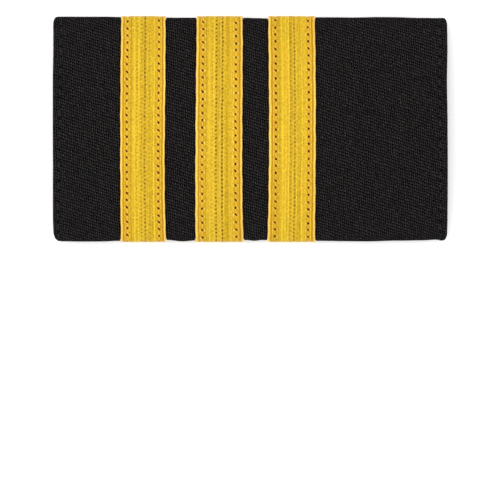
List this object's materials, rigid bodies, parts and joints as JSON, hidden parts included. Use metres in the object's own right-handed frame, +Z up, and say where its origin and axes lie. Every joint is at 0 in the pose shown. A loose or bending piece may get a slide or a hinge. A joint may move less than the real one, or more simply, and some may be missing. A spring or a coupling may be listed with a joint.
{
  "type": "slip-on epaulette",
  "caption": "Flat slip-on epaulette: a black twill sleeve, open at both ends for a shoulder strap, with gold braids sewn round it.",
  "frame": {"origin": "on the surface that the epaulette lies on, under the middle of its length and width", "axes": "+X along the sleeve from the end near the braids to the plain end, +Y across the sleeve to its far edge, +Z up through the front"},
  "size_m": [0.1, 0.0574, 0.0086],
  "materials": {
    "black_twill": "matte twill weave",
    "gold_braid": "satin ribbed braid"
  },
  "bodies": {
    "root": {"sleeve": "black_twill", "braid_1": "gold_braid", "braid_2": "gold_braid", "braid_3": "gold_braid"}
  },
  "joints": []
}
